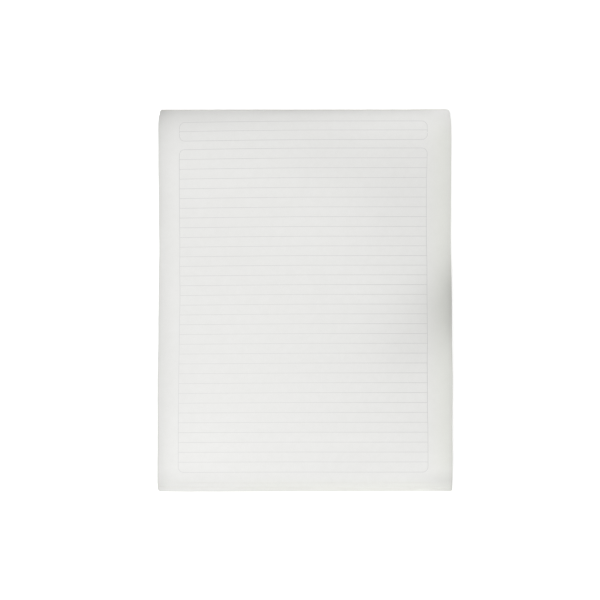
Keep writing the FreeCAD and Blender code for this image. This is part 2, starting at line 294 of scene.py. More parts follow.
def leaf_grid(k, cols, rows, rx=CORNER, ry=CORNER):
    """Places of a leaf's grid nodes in plan, with round corners; the free
    right one, which is turned most, is rx wide and ry long, and the free left
    one is worn."""
    y_head, y_free = head_end(k), free_end(k)
    length = y_head - y_free
    v = rows * length / rows[-1]
    v = np.where(rows <= 6.0, rows, np.where(rows[-1] - rows <= 6.0, length - (rows[-1] - rows), v))
    u = cols                                       # 0 .. 215 from the left
    uu, vv = np.meshgrid(u, v)
    y = y_head - vv
    left, right = side_reach(k, y)
    # blend across the middle so that both sides keep their own edge
    mid = smooth(40.0, 175.0, uu)
    x = (left + uu) * (1 - mid) + (right - (2 * HALF_W - uu)) * mid
    # square corner to quarter disc
    for sx, sy, r, s in ((-1, 1, SHARP, SHARP), (1, 1, CORNER, CORNER), (-1, -1, WORN, WORN), (1, -1, rx, ry)):
        ex = np.where(sx < 0, x - left, right - x)             # from the long edge
        ey = (y_head - y) if sy > 0 else (y - y_free)          # from the end
        a = np.clip(1 - ex / r, 0, None)
        b = np.clip(1 - ey / s, 0, None)
        both = (a > 0) & (b > 0)
        a2 = np.where(both, a * np.sqrt(np.clip(1 - b * b / 2, 0, 1)), a)
        b2 = np.where(both, b * np.sqrt(np.clip(1 - a * a / 2, 0, 1)), b)
        x = x - sx * np.where(both, (a - a2) * r, 0)
        y = y - sy * np.where(both, (b - b2) * s, 0)
    y = y - slant(k, x) * np.clip(vv / length, 0, 1) ** 4
    y = y + head_creep(x) * min(k / 30.0, 1.0) * np.clip(1 - vv / length, 0, 1) ** 8
    return x, np.maximum(y, FREE + 0.01)


def slab_mesh(low, high):
    """Vertices and faces of a closed slab from two node grids (rows x cols x 3).
    Rows run from the head to the free end, columns from left to right."""
    ny, nx = low.shape[:2]
    n = ny * nx
    verts = np.concatenate([high.reshape(-1, 3), low.reshape(-1, 3)])
    i, j = np.meshgrid(np.arange(ny - 1), np.arange(nx - 1), indexing="ij")
    a = (i * nx + j).ravel()
    top = np.stack([a, a + nx, a + nx + 1, a + 1], 1)
    bottom = np.stack([a, a + 1, a + nx + 1, a + nx], 1) + n
    loop = ([r * nx for r in range(ny)]
            + [(ny - 1) * nx + c for c in range(1, nx)]
            + [r * nx + nx - 1 for r in range(ny - 2, -1, -1)]
            + [c for c in range(nx - 2, 0, -1)])
    loop = np.array(loop)
    nxt = np.roll(loop, -1)
    rim = np.stack([loop + n, nxt + n, nxt, loop], 1)
    faces = np.concatenate([top, bottom, rim])
    smooth_flags = np.concatenate([np.ones(len(top) + len(bottom), bool), np.zeros(len(rim), bool)])
    return verts, faces, smooth_flags


def leaf_map(verts, faces, shape, plan, under, band):
    """Bake map of a leaf: its two broad faces in plan, each in its own
    window, and its cut edge rolled out as one long strip."""
    ny, nx = shape
    quads = (ny - 1) * (nx - 1)
    at = verts[faces]
    uv = np.empty((len(faces), 4, 2))
    px = (at[..., 0] + HALF_W) / (2 * HALF_W)
    py = (at[..., 1] - FREE) / (141.2 - FREE)
    for part, (u0, u1, v0, v1) in ((slice(0, quads), plan), (slice(quads, 2 * quads), under)):
        uv[part, :, 0] = u0 + px[part] * (u1 - u0)
        uv[part, :, 1] = v0 + py[part] * (v1 - v0)
    rim = at[2 * quads:]
    step = np.linalg.norm(rim[:, 1, :2] - rim[:, 0, :2], axis=1)
    along = np.concatenate([[0.0], np.cumsum(step)])
    along = 0.005 + 0.99 * along / along[-1]
    for corner, u, v in ((0, along[:-1], band[0]), (1, along[1:], band[0]),
                         (2, along[1:], band[1]), (3, along[:-1], band[1])):
        uv[2 * quads:, corner, 0] = u
        uv[2 * quads:, corner, 1] = v
    return uv.reshape(-1, 2)


def bar_map(stations_n, closed, n_faces, band):
    """Bake map of a printed bar: one band, its four sides one above another."""
    n = stations_n if closed else stations_n - 1
    u = 0.02 + 0.96 * np.arange(n + 1) / n
    v = band[0] + (band[1] - band[0]) * np.arange(5) / 4
    uv = np.empty((n_faces, 4, 2))
    for q in range(4):
        rows = slice(q, 4 * n, 4)
        for corner, (du, dv) in enumerate(((0, 0), (0, 1), (1, 1), (1, 0))):
            uv[rows, corner, 0] = u[du:n + du]
            uv[rows, corner, 1] = v[q + dv]
    if not closed:                                    # the two end caps
        for f, (a, b) in ((4 * n, (0.006, 0.014)), (4 * n + 1, (0.986, 0.994))):
            uv[f] = [(a, v[0]), (b, v[0]), (b, v[3]), (a, v[3])]
    return uv.reshape(-1, 2)


def make_object(name, parts, material, uvs=None):
    """One object from several (verts, faces, smooth flags) lists, in mm."""
    verts, faces, flags, base = [], [], [], 0
    for v, f, s in parts:
        verts.append(v)
        faces.append(f + base)
        flags.append(s)
        base += len(v)
    verts = np.concatenate(verts) * MM
    faces = np.concatenate(faces)
    flags = np.concatenate(flags)
    me = bpy.data.meshes.new(name)
    me.vertices.add(len(verts))
    me.vertices.foreach_set("co", verts.astype(np.float32).ravel())
    me.loops.add(faces.size)
    me.loops.foreach_set("vertex_index", faces.astype(np.int32).ravel())
    me.polygons.add(len(faces))
    me.polygons.foreach_set("loop_start", np.arange(0, faces.size, 4, dtype=np.int32))
    me.polygons.foreach_set("use_smooth", flags)
    me.update(calc_edges=True)
    if uvs is not None:
        layer = me.uv_layers.new(name="OFBake", do_init=False)
        layer.uv.foreach_set("vector", np.concatenate(uvs).astype(np.float32).ravel())
    me.validate()
    me.materials.append(material)
    ob = bpy.data.objects.new(name, me)
    bpy.context.scene.collection.objects.link(ob)
    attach(ob, "root")
    return ob


# ---------------------------------------------------------------- materials --
def new_material(name):
    mat = bpy.data.materials.new(name)
    mat.use_nodes = True
    nt = mat.node_tree
    nt.nodes.clear()
    out = nt.nodes.new("ShaderNodeOutputMaterial")
    bsdf = nt.nodes.new("ShaderNodeBsdfPrincipled")
    nt.links.new(bsdf.outputs["BSDF"], out.inputs["Surface"])
    return mat, nt, bsdf


def node(nt, kind, **inputs):
    n = nt.nodes.new(kind)
    for key, value in inputs.items():
        n.inputs[key.replace("_", " ")].default_value = value
    return n


def math_node(nt, op, a, b=None, clamp=False):
    n = nt.nodes.new("ShaderNodeMath")
    n.operation = op
    n.use_clamp = clamp
    for i, v in enumerate((a, b)):
        if v is None:
            continue
        if isinstance(v, (int, float)):
            n.inputs[i].default_value = v
        else:
            nt.links.new(v, n.inputs[i])
    return n.outputs[0]


def ramp_node(nt, value, lo, hi, out_lo=0.0, out_hi=1.0, kind="SMOOTHSTEP"):
    n = nt.nodes.new("ShaderNodeMapRange")
    n.interpolation_type = kind
    nt.links.new(value, n.inputs["Value"])
    n.inputs["From Min"].default_value = lo
    n.inputs["From Max"].default_value = hi
    n.inputs["To Min"].default_value = out_lo
    n.inputs["To Max"].default_value = out_hi
    return n.outputs["Result"]


def mix_colour(nt, factor, a, b, blend="MIX"):
    n = nt.nodes.new("ShaderNodeMix")
    n.data_type = "RGBA"
    n.blend_type = blend
    n.clamp_factor = True
    if isinstance(factor, (int, float)):
        n.inputs["Factor"].default_value = factor
    else:
        nt.links.new(factor, n.inputs["Factor"])
    for key, v in (("A", a), ("B", b)):
        sock = [s for s in n.inputs if s.name == key and s.type == "RGBA"][0]
        if isinstance(v, tuple):
            sock.default_value = (*v, 1.0)
        else:
            nt.links.new(v, sock)
    return [s for s in n.outputs if s.type == "RGBA"][0]


def noise_of(nt, vector, scale, detail=3.0, rough=0.5):
    n = nt.nodes.new("ShaderNodeTexNoise")
    n.inputs["Scale"].default_value = scale
    n.inputs["Detail"].default_value = detail
    n.inputs["Roughness"].default_value = rough
    nt.links.new(vector, n.inputs["Vector"])
    return n.outputs["Fac"]


def stretched(nt, vector, scale, turn=0.0):
    n = nt.nodes.new("ShaderNodeMapping")
    n.inputs["Scale"].default_value = scale
    n.inputs["Rotation"].default_value = (0, 0, turn)
    nt.links.new(vector, n.inputs["Vector"])
    return n.outputs["Vector"]


def srgb(r, g, b):
    def lin(c):
        c /= 255.0
        return c / 12.92 if c <= 0.04045 else ((c + 0.055) / 1.055) ** 2.4
    return (lin(r), lin(g), lin(b))


PAPER = srgb(233.3, 233.2, 231.4)
PAPER_DIM = srgb(231.4, 231.3, 229.3)


def fall_off(nt, distance, scale, amount):
    """amount * exp(-distance / scale)"""
    e = math_node(nt, "EXPONENT", math_node(nt, "MULTIPLY", distance, -1.0 / scale))
    return math_node(nt, "MULTIPLY", e, amount)


def soft_spot(nt, x, y, cx, cy, sx, sy, amount):
    """amount times a soft bell, placed and sized in millimetres."""
    u = math_node(nt, "MULTIPLY", math_node(nt, "ADD", x, -cx * MM), 1.0 / (sx * MM))
    v = math_node(nt, "MULTIPLY", math_node(nt, "ADD", y, -cy * MM), 1.0 / (sy * MM))
    r = math_node(nt, "ADD", math_node(nt, "MULTIPLY", u, u), math_node(nt, "MULTIPLY", v, v))
    return math_node(nt, "MULTIPLY", math_node(nt, "EXPONENT", math_node(nt, "MULTIPLY", r, -0.5)), amount)


# painted light and shade: soft spots where the sheet is painted lighter or darker: centre, spread, amount
PAINTED_LIGHT_AND_SHADE = ((72, 78, 22, 22, -0.026), (9, 42, 32, 32, 0.020), (81, -129, 20, 13, 0.032),
            (-81, -111, 22, 20, 0.019), (-63, 87, 32, 13, 0.018), (-107, -48, 12, 32, -0.028),
            (72, -39, 13, 13, -0.024), (18, 105, 20, 13, -0.017), (-96, 132, 50, 12, -0.016),
            (101, -132, 12, 3.4, -0.058), (62, 124, 30, 8, 0.018), (106, -78, 8, 24, -0.020),
            (95, -121, 6, 11, 0.024), (50, -140.6, 42, 0.9, 0.060), (50, -137.6, 40, 1.3, 0.036),
            (-60, -137.4, 45, 1.2, 0.016), (106.8, -135.5, 1.3, 4.0, -0.045), (105, 131, 3.2, 9, -0.012),
            (92, 124, 6, 5, 0.014), (90, 136, 8, 3, -0.014), (104.5, 100, 4.5, 24, -0.010),
            (104, 13, 4.0, 8, -0.016), (105, -4, 2.6, 6, 0.026), (45, 8, 16, 10, 0.010),
            (40, -103, 34, 3.5, 0.012), (-94.5, 0, 3, 150, 0.010))


def paper_material(name):
    """Uncoated writing paper: cloudy formation, fibre tooth, a warm cast, and painted shade and light: darker long
    edges, head and foot, a painted shadow at the right edge, and soft lighter and darker spots.
    """
    mat, nt, bsdf = new_material(name)
    tc = nt.nodes.new("ShaderNodeTexCoord")
    where = tc.outputs["Object"]
    xyz = nt.nodes.new("ShaderNodeSeparateXYZ")
    nt.links.new(where, xyz.inputs[0])
    x, y = xyz.outputs["X"], xyz.outputs["Y"]
    # cloudy look-through and fine fibre speckle
    cloud = noise_of(nt, where, 190.0, 4.0, 0.6)
    fleck = noise_of(nt, stretched(nt, where, (1.0, 0.35, 1.0), 0.5), 1500.0, 2.0, 0.6)
    tone = math_node(nt, "ADD", math_node(nt, "MULTIPLY", cloud, 0.6),
                     math_node(nt, "MULTIPLY", fleck, 0.4))
    tone = ramp_node(nt, tone, 0.36, 0.64)
    colour = mix_colour(nt, tone, PAPER_DIM, PAPER)
    # painted shade: both long edges are painted darker, standing in for the shade where they droop
    wander = ramp_node(nt, noise_of(nt, where, 24.0, 2.0), 0.3, 0.7, 0.85, 1.15, "LINEAR")
    from_left = math_node(nt, "ADD", x, 0.10795)
    from_right = math_node(nt, "SUBTRACT", 0.10795, x)
    edge = math_node(nt, "MAXIMUM", fall_off(nt, from_left, 0.0046, 0.46), fall_off(nt, from_right, 0.0054, 0.28))
    colour = mix_colour(nt, math_node(nt, "MULTIPLY", edge, wander, True), colour, srgb(196, 196, 193))
    # a warm cast on the right and along the foot, where daylight has reached
    from_foot = math_node(nt, "ADD", y, 0.1409)
    warm_foot = math_node(nt, "MULTIPLY", ramp_node(nt, from_foot, 0.0040, 0.0130, 0.56, 0.0),
                          ramp_node(nt, x, -0.070, -0.020, 0.30, 1.0))
    warm_right = math_node(nt, "MULTIPLY", ramp_node(nt, from_foot, 0.0100, 0.0260, 0.60, 1.0),
                           ramp_node(nt, y, 0.116, 0.140, 0.80, 0.0))
    warm_right = math_node(nt, "MULTIPLY", ramp_node(nt, from_right, 0.0060, 0.0230, 1.0, 0.0), warm_right)
    warm = math_node(nt, "MAXIMUM", warm_right, warm_foot)
    colour = mix_colour(nt, warm, colour, (0.993, 1.002, 0.963), "MULTIPLY")
    # painted shadow: a soft grey patch at the middle of the right edge, a shadow painted into the paper colour
    centre = math_node(nt, "ADD", y, math_node(nt, "MULTIPLY", from_right, 0.35))
    bell = math_node(nt, "MULTIPLY", math_node(nt, "ADD", centre, 0.0038), 1.0 / 0.0215)
    bell = math_node(nt, "EXPONENT", math_node(nt, "MULTIPLY", math_node(nt, "MULTIPLY", bell, bell), -0.5))
    shadow_reach = math_node(nt, "ADD", fall_off(nt, from_right, 0.0210, 0.36), fall_off(nt, from_right, 0.0100, 0.15))
    painted_shadow = math_node(nt, "MULTIPLY", shadow_reach, bell, True)
    colour = mix_colour(nt, painted_shadow, colour, srgb(150, 151, 146))
    # painted shade: the bent leaves by the gum are painted darker, most of all on the left; the top left corner
    # and the left of the foot are painted darker too
    from_head = math_node(nt, "SUBTRACT", 0.1403, y)
    painted_shade = math_node(nt, "MULTIPLY", fall_off(nt, from_head, 0.0070, 0.25),
                      ramp_node(nt, x, -0.108, 0.108, 1.0, 0.05, "LINEAR"))
    head_lip_shade = math_node(nt, "MULTIPLY", ramp_node(nt, x, -0.080, 0.010), ramp_node(nt, x, 0.080, 0.108, 1.0, 0.0))
    painted_shade = math_node(nt, "ADD", painted_shade, math_node(nt, "MULTIPLY", fall_off(nt, from_head, 0.0026, 0.26), head_lip_shade))
    corner = math_node(nt, "MULTIPLY", fall_off(nt, from_left, 0.0100, 0.15), fall_off(nt, from_head, 0.0140, 1.0))
    foot = math_node(nt, "MULTIPLY", ramp_node(nt, from_foot, 0.006, 0.019, 0.062, 0.0),
                     ramp_node(nt, x, -0.108, 0.010, 1.0, 0.0, "LINEAR"))
    painted_shade = math_node(nt, "ADD", painted_shade, math_node(nt, "ADD", corner, foot), True)
    colour = mix_colour(nt, painted_shade, colour, srgb(128, 127, 121))
    # the soft spots scale the paper colour: painted light and shade
    light_shade_scale = 1.0
    for spot in PAINTED_LIGHT_AND_SHADE:
        light_shade_scale = math_node(nt, "ADD", soft_spot(nt, x, y, *spot), light_shade_scale)
    scaled = nt.nodes.new("ShaderNodeVectorMath")
    scaled.operation = "SCALE"
    nt.links.new(colour, scaled.inputs[0])
    nt.links.new(light_shade_scale, scaled.inputs["Scale"])
    nt.links.new(scaled.outputs["Vector"], bsdf.inputs["Base Color"])
    rough = ramp_node(nt, cloud, 0.3, 0.7, 0.86, 0.94, "LINEAR")
    nt.links.new(rough, bsdf.inputs["Roughness"])
    bsdf.inputs["Specular IOR Level"].default_value = 0.28
    # tooth: crossing fibres over a fine felt grain
    f1 = noise_of(nt, stretched(nt, where, (1.0, 0.16, 1.0), 0.35), 2600.0, 2.0, 0.6)
    f2 = noise_of(nt, stretched(nt, where, (0.16, 1.0, 1.0), -0.2), 2300.0, 2.0, 0.6)
    felt = noise_of(nt, where, 900.0, 5.0, 0.6)
    tooth = math_node(nt, "ADD", math_node(nt, "ADD", f1, f2), felt)
    bump = node(nt, "ShaderNodeBump", Strength=0.22, Distance=0.00006)
    nt.links.new(tooth, bump.inputs["Height"])
    nt.links.new(bump.outputs["Normal"], bsdf.inputs["Normal"])
    return mat


def ink_material():
    """Pale grey printing ink, matte: fuller on the right and at the head of
    the form, thin at its lower left, a little uneven along the line."""
    mat, nt, bsdf = new_material("ruling_ink")
    tc = nt.nodes.new("ShaderNodeTexCoord")
    where = tc.outputs["Object"]
    broken = noise_of(nt, where, 420.0, 3.0, 0.6)
    slow = noise_of(nt, where, 30.0, 2.0, 0.5)
    xyz = nt.nodes.new("ShaderNodeSeparateXYZ")
    nt.links.new(where, xyz.inputs[0])
    x, y = xyz.outputs["X"], xyz.outputs["Y"]
    mixed = math_node(nt, "ADD", math_node(nt, "MULTIPLY", broken, 0.6), math_node(nt, "MULTIPLY", slow, 0.4))
    f = ramp_node(nt, mixed, 0.35, 0.65, 0.04, 0.24)
    f = math_node(nt, "ADD", f, ramp_node(nt, y, -0.060, 0.085, 0.0, 0.36))
    bell = math_node(nt, "MULTIPLY", math_node(nt, "ADD", y, 0.030), 1.0 / 0.060)
    bell = math_node(nt, "EXPONENT", math_node(nt, "MULTIPLY", math_node(nt, "MULTIPLY", bell, bell), -0.5))
    f = math_node(nt, "ADD", f, math_node(nt, "MULTIPLY", bell, ramp_node(nt, x, -0.005, 0.095, 0.0, 0.84)), True)
    colour = mix_colour(nt, f, srgb(217.8, 217.7, 216.6), srgb(193.0, 192.8, 192.2))
    nt.links.new(colour, bsdf.inputs["Base Color"])
    rough = ramp_node(nt, broken, 0.3, 0.7, 0.72, 0.86, "LINEAR")
    nt.links.new(rough, bsdf.inputs["Roughness"])
    bsdf.inputs["Specular IOR Level"].default_value = 0.3
    bump = node(nt, "ShaderNodeBump", Strength=0.1, Distance=0.00002)
    nt.links.new(broken, bump.inputs["Height"])
    nt.links.new(bump.outputs["Normal"], bsdf.inputs["Normal"])
    return mat


def board_material():
    """Grey-brown chipboard: pulp specks, pressed fibres, scuffed corners."""
    mat, nt, bsdf = new_material("chipboard")
    tc = nt.nodes.new("ShaderNodeTexCoord")
    where = tc.outputs["Object"]
    xyz = nt.nodes.new("ShaderNodeSeparateXYZ")
    nt.links.new(where, xyz.inputs[0])
    cloud = noise_of(nt, where, 70.0, 5.0, 0.6)
    fibre = noise_of(nt, stretched(nt, where, (0.22, 1.0, 1.0), 0.25), 900.0, 4.0, 0.65)
    base = mix_colour(nt, ramp_node(nt, cloud, 0.32, 0.68), srgb(153, 141, 123), srgb(168, 156, 137))
    base = mix_colour(nt, ramp_node(nt, fibre, 0.42, 0.72, 0.0, 0.55), base, srgb(126, 115, 100))
    dark = nt.nodes.new("ShaderNodeTexVoronoi")
    dark.inputs["Scale"].default_value = 520.0
    nt.links.new(where, dark.inputs["Vector"])
    speck = ramp_node(nt, dark.outputs["Distance"], 0.10, 0.20, 1.0, 0.0)
    pick = ramp_node(nt, noise_of(nt, where, 260.0, 1.0), 0.50, 0.62)
    base = mix_colour(nt, math_node(nt, "MULTIPLY", math_node(nt, "MULTIPLY", speck, pick), 0.7), base, srgb(84, 76, 66))
    shive = noise_of(nt, stretched(nt, where, (1.0, 0.30, 1.0), -0.6), 640.0, 2.0, 0.5)
    base = mix_colour(nt, ramp_node(nt, shive, 0.62, 0.70, 0.0, 0.5), base, srgb(190, 180, 160))
    edge = math_node(nt, "MAXIMUM",
                     ramp_node(nt, math_node(nt, "ABSOLUTE", xyz.outputs["X"]), 0.1050, 0.1080),
                     ramp_node(nt, xyz.outputs["Y"], -0.1377, -0.1408))
    rub = math_node(nt, "MULTIPLY", edge, ramp_node(nt, noise_of(nt, where, 160.0, 4.0), 0.42, 0.62), True)
    base = mix_colour(nt, math_node(nt, "MULTIPLY", rub, 0.45), base, srgb(188, 178, 160))
    nt.links.new(base, bsdf.inputs["Base Color"])
    nt.links.new(ramp_node(nt, cloud, 0.3, 0.7, 0.84, 0.95, "LINEAR"), bsdf.inputs["Roughness"])
    bsdf.inputs["Specular IOR Level"].default_value = 0.25
    bump = node(nt, "ShaderNodeBump", Strength=0.45, Distance=0.00008)
    nt.links.new(math_node(nt, "ADD", fibre, math_node(nt, "MULTIPLY", speck, -0.3)), bump.inputs["Height"])
    nt.links.new(bump.outputs["Normal"], bsdf.inputs["Normal"])
    return mat


def gum_material():
    """Dried padding compound: milky, slightly glossy, brushed along the head,
    with the leaf ends showing through as fine ridges."""
    mat, nt, bsdf = new_material("padding_gum")
    tc = nt.nodes.new("ShaderNodeTexCoord")
    where = tc.outputs["Object"]
    streak = noise_of(nt, stretched(nt, where, (0.05, 1.0, 1.0)), 1400.0, 3.0, 0.6)
    cloud = noise_of(nt, where, 140.0, 3.0, 0.55)
    ridges = nt.nodes.new("ShaderNodeTexWave")
    ridges.wave_type = "BANDS"
    ridges.bands_direction = "Z"
    ridges.inputs["Scale"].default_value = 2300.0
    ridges.inputs["Distortion"].default_value = 1.6
    ridges.inputs["Detail"].default_value = 2.0
    nt.links.new(where, ridges.inputs["Vector"])
    base = mix_colour(nt, ramp_node(nt, cloud, 0.3, 0.7), srgb(214, 212, 203), srgb(224, 222, 214))
    base = mix_colour(nt, ramp_node(nt, streak, 0.5, 0.75, 0.0, 0.5), base, srgb(198, 195, 184))
    nt.links.new(base, bsdf.inputs["Base Color"])
    nt.links.new(ramp_node(nt, streak, 0.3, 0.7, 0.34, 0.58, "LINEAR"), bsdf.inputs["Roughness"])
    bsdf.inputs["Specular IOR Level"].default_value = 0.45
    bsdf.inputs["Subsurface Weight"].default_value = 0.12
    bsdf.inputs["Subsurface Radius"].default_value = (0.6, 0.55, 0.5)
    bsdf.inputs["Subsurface Scale"].default_value = 0.0008
    height = math_node(nt, "ADD", math_node(nt, "MULTIPLY", ridges.outputs["Fac"], 0.6), streak)
    bump = node(nt, "ShaderNodeBump", Strength=0.35, Distance=0.00006)
    nt.links.new(height, bump.inputs["Height"])
    nt.links.new(bump.outputs["Normal"], bsdf.inputs["Normal"])
    return mat


def floor_material():
    """White sweep, evenly lit from within so that it stays pale far out."""
    mat, nt, bsdf = new_material("pale_floor")
    tc = nt.nodes.new("ShaderNodeTexCoord")
    where = tc.outputs["Object"]
    grain = noise_of(nt, where, 3.0, 2.0)
    nt.links.new(mix_colour(nt, ramp_node(nt, grain, 0.3, 0.7), (0.90, 0.90, 0.90), (0.915, 0.915, 0.915)),
                 bsdf.inputs["Base Color"])
    bsdf.inputs["Roughness"].default_value = 0.9
    bsdf.inputs["Specular IOR Level"].default_value = 0.1
    bsdf.inputs["Emission Color"].default_value = (1.0, 1.0, 1.0, 1.0)
    reach = nt.nodes.new("ShaderNodeVectorMath")
    reach.operation = "LENGTH"
    nt.links.new(where, reach.inputs[0])
    nt.links.new(ramp_node(nt, reach.outputs["Value"], 0.30, 0.62, 0.34, 0.97), bsdf.inputs["Emission Strength"])
    return mat


# ------------------------------------------------------------------- leaves --
paper_top = paper_material("paper_top_leaf")
paper_stack = paper_material("paper_leaves")

NEAR = (0.0, 0.35, 0.8, 1.4, 2.2, 3.2, 4.6)
LONG_HEAD = NEAR + (6.2, 8.0, 10.0, 12.0, 14.2, 16.6, 19.2, 22.0)

cols_fine = stations(2 * HALF_W, NEAR + (6.2, 8.0, 10.0), NEAR + (6.2, 8.0, 10.0), 2.6)
rows_fine = stations(277.2, LONG_HEAD, NEAR + (6.2, 8.0), 2.0)
cols_stack = stations(2 * HALF_W, NEAR[:5] + (5.0, 9.0, 15.0), NEAR[:5] + (5.0, 9.0, 15.0), 26.0)
rows_stack = stations(279.4, LONG_HEAD, NEAR + (7.0,), 4.2)


def leaf(k, cols, rows):
    rx, ry = (2.6, 5.4) if 40 <= k < LEAVES - 1 else (CORNER, CORNER)
    x, y = leaf_grid(k, cols, rows, rx, ry)
    low, high = leaf_faces(k, x, y)
    return slab_mesh(np.stack([x, y, low], 2), np.stack([x, y, high], 2))


def stack_maps(parts, shape, plan, under, strips):
    """Bake maps of a pack of leaves.  Their broad faces share one window,
    where the upper leaf is laid last; every cut edge has a strip of its own."""
    v0, v1 = strips
    pitch = (v1 - v0) / len(parts)
    return [leaf_map(v, f, shape, plan, under, (v0 + pitch * i, v0 + pitch * (i + 0.72)))
            for i, (v, f, _) in enumerate(parts)]


groups = (("leaves_lower", range(0, 17)), ("leaves_middle", range(17, 33)),
          ("leaves_upper", range(33, LEAVES - 1)))
for name, ks in groups:
    pack = [leaf(k, cols_stack, rows_stack) for k in ks]
    maps = stack_maps(pack, (len(rows_stack), len(cols_stack)), (0.005, 0.745, 0.26, 0.995),
                      (0.755, 0.995, 0.26, 0.57), (0.006, 0.245))
    ob = make_object(name, pack, paper_stack, maps)
    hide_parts("page_block")

pack = [leaf(LEAVES - 1, cols_fine, rows_fine)]
maps = stack_maps(pack, (len(rows_fine), len(cols_fine)), (0.005, 0.745, 0.04, 0.995),
                  (0.755, 0.995, 0.04, 0.35), (0.006, 0.034))
top_leaf = make_object("leaf_top", pack, paper_top, maps)
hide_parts("page_block")

# ------------------------------------------------------------------ ruling ---
ink = ink_material()

# arc length along the top leaf, so that the ruling keeps its pitch on it
_ys = np.linspace(TOP_END, HEAD_Y1, 5551)
_zs = side_profile(_ys)
_arc = np.concatenate([[0.0], np.cumsum(np.hypot(np.diff(_ys), np.diff(_zs)))])
_arc -= np.interp(0.0, _ys, _arc)


def y_at_arc(s):
    return float(np.interp(s, _arc, _ys))


PITCH = 7.143
MAIN_TOP, MAIN_BOTTOM = 110.37, 110.37 - 33 * PITCH - 0.2
HEAD_TOP, HEAD_BOTTOM = 130.66, 116.55
FRAME_L, FRAME_R = -92.5, 88.71
FRAME_ROUND = 3.9


def printed(x, y):
    """Where the form's point (x, y) lands on the leaf: it is printed with its
    left part a little low, and it wanders with the damp and the handling."""
    x, y = np.asarray(x, float), np.asarray(y, float)
    down = 0.58 * (np.clip(-x + 4.0, 0, None) / 90.0) ** 1.15 + 0.12 * np.clip(x, 0, None) / 86.0
    down = down + 0.30 * smooth(-70.0, -122.0, y) * smooth(-60.0, 40.0, x)
    left = (0.33 + 0.45 * smooth(90.0, 130.0, y) + 0.50 * hump(y, 4.0, 12.0) + 0.25 * hump(y, -24.0, 18.0)
            - 0.30 * smooth(-60.0, -100.0, y))
    right = (0.60 + 0.45 * smooth(82.0, 115.0, y) + 0.25 * hump(y, 32.0, 11.0)
             - 0.55 * smooth(-28.0, -48.0, y) + 0.30 * smooth(-80.0, -95.0, y))
    share = np.clip((x + 92.0) / 181.0, 0, 1)
    return x + left + share * (right - left), y - down


def bar(path, width, closed):
    """A printed line as a thin closed bar that hugs the top leaf."""
    path = np.array(path, float)
    nxt = np.roll(path, -1, 0) if closed else np.concatenate([path[1:], path[-1:]])
    prv = np.roll(path, 1, 0) if closed else np.concatenate([path[:1], path[:-1]])
    d = nxt - prv
    d /= np.linalg.norm(d, axis=1, keepdims=True)
    side = np.stack([-d[:, 1], d[:, 0]], 1) * width / 2
    rows = []
    for p, lift in ((path + side, 0.016), (path - side, 0.016), (path - side, -0.03), (path + side, -0.03)):
        px, py = printed(p[:, 0], p[:, 1])
        rows.append(np.stack([px, py, top_height(px, py) + lift], 1))
    v = np.stack(rows, 1).reshape(-1, 3)                      # 4 to a station
    n = len(path)
    faces = []
    for i in range(n if closed else n - 1):
        a, b = 4 * i, 4 * ((i + 1) % n)
        for q in range(4):
            r = (q + 1) % 4
            faces.append((a + q, a + r, b + r, b + q))
    if not closed:
        faces.append((3, 2, 1, 0))
        e = 4 * (n - 1)
        faces.append((e, e + 1, e + 2, e + 3))
    return v, np.array(faces), np.zeros(len(faces), bool)


def box_path(s_top, s_bottom):
    """Round-cornered frame as a closed path, counter-clockwise."""
    r = FRAME_ROUND
    yt, yb = y_at_arc(s_top), y_at_arc(s_bottom)
    pts = []

    def arc(cx, cy, a0):
        for i in range(9):
            a = math.radians(a0 + 90 * i / 8)
            pts.append((cx + r * math.cos(a), cy + r * math.sin(a)))

    def run(x0, y0, x1, y1, pitch=2.5):
        n = max(1, round(math.hypot(x1 - x0, y1 - y0) / pitch))
        for i in range(1, n):
            pts.append((x0 + (x1 - x0) * i / n, y0 + (y1 - y0) * i / n))

    arc(FRAME_R - r, yt - r, 0)
    run(FRAME_R - r, yt, FRAME_L + r, yt)
    arc(FRAME_L + r, yt - r, 90)
    run(FRAME_L, yt - r, FRAME_L, yb + r)
    arc(FRAME_L + r, yb + r, 180)
    run(FRAME_L + r, yb, FRAME_R - r, yb)
    arc(FRAME_R - r, yb + r, 270)
    run(FRAME_R, yb + r, FRAME_R, yt - r)
    return pts


def rule_path(y):
    n = 72
    return [(FRAME_L + (FRAME_R - FRAME_L) * i / n, y) for i in range(n + 1)]


RULE_W, FRAME_W = 0.24, 0.28
rules = [bar(rule_path(y_at_arc(MAIN_TOP - PITCH * i)), RULE_W, False) for i in range(1, 33)]
rules.append(bar(rule_path(y_at_arc((HEAD_TOP + HEAD_BOTTOM) / 2 - 0.03)), RULE_W, False))
maps = [bar_map(len(v) // 4, False, len(f), ((i + 0.1) / len(rules), (i + 0.9) / len(rules)))
        for i, (v, f, _) in enumerate(rules)]
ruling = make_object("ruling_lines", rules, ink, maps)


def printed_frame(name, s_top, s_bottom):
    path = bar(box_path(s_top, s_bottom), FRAME_W, True)
    maps = [bar_map(len(path[0]) // 4, True, len(path[1]), (0.30, 0.70))]
    return make_object(name, [path], ink, maps)


frame_main = printed_frame("ruling_frame", MAIN_TOP, MAIN_BOTTOM)
frame_head = printed_frame("heading_frame", HEAD_TOP, HEAD_BOTTOM)

